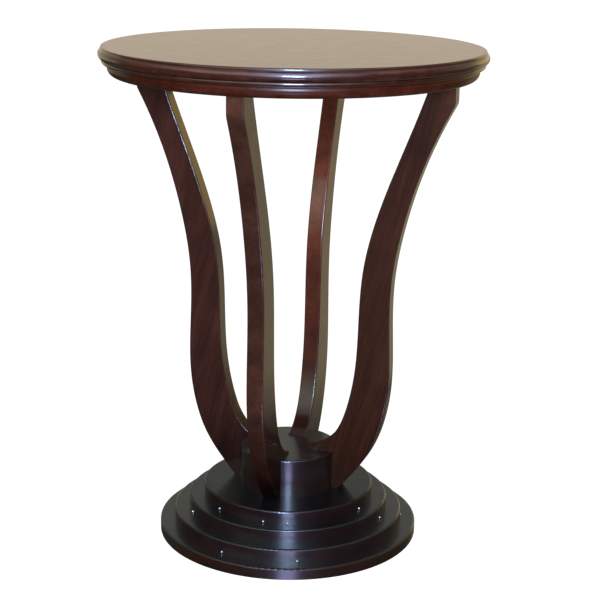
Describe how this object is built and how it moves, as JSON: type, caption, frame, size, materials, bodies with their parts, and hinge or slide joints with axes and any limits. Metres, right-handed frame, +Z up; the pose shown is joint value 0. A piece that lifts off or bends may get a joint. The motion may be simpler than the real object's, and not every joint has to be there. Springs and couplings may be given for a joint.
{
  "type": "accent table",
  "caption": "Round accent table: moulded round top on S-curved board legs rising from a drum hub on a stepped disc base.",
  "frame": {"origin": "on the floor, under the middle of the base", "axes": "+Z up the table's axis, +X towards one leg, the other legs at quarter turns from it"},
  "size_m": [0.512, 0.512, 0.6782],
  "materials": {
    "dark_lacquered_wood": "dark red-brown stained wood under satin-gloss lacquer",
    "top_veneer_lacquer": "dark red-brown stained veneer under polished lacquer",
    "core_board": "raw core board",
    "bare_beech": "unfinished beech",
    "screw_steel": "zinc-plated steel",
    "brad_steel": "bright steel",
    "insert_brass": "plain brass",
    "pad_felt": "dense brown felt"
  },
  "bodies": {
    "root": {"base_tier_bottom": "dark_lacquered_wood", "base_tier_lower": "dark_lacquered_wood", "base_tier_upper": "dark_lacquered_wood", "base_tier_top": "dark_lacquered_wood", "lower_tier_screws": "screw_steel", "middle_tier_screws": "screw_steel", "upper_tier_screws": "screw_steel", "lower_riser_brads": "brad_steel", "middle_riser_brads": "brad_steel", "upper_riser_brads": "brad_steel", "floor_pads": "pad_felt", "tie_bolt": "screw_steel", "tie_washer": "screw_steel", "tie_insert": "insert_brass", "hub_drum": "dark_lacquered_wood", "hub_screws": "screw_steel", "tenon_pins": "bare_beech", "leg_1": "dark_lacquered_wood", "leg_2": "dark_lacquered_wood", "leg_3": "dark_lacquered_wood", "leg_4": "dark_lacquered_wood", "leg_dowels": "bare_beech", "leg_screws": "screw_steel", "sub_top": "dark_lacquered_wood", "top_screws": "screw_steel", "top_core": "core_board", "rim_lipping_1": "dark_lacquered_wood", "rim_lipping_2": "dark_lacquered_wood", "rim_lipping_3": "dark_lacquered_wood", "rim_lipping_4": "dark_lacquered_wood", "rim_biscuits": "bare_beech", "top_veneer": "top_veneer_lacquer"}
  },
  "joints": []
}
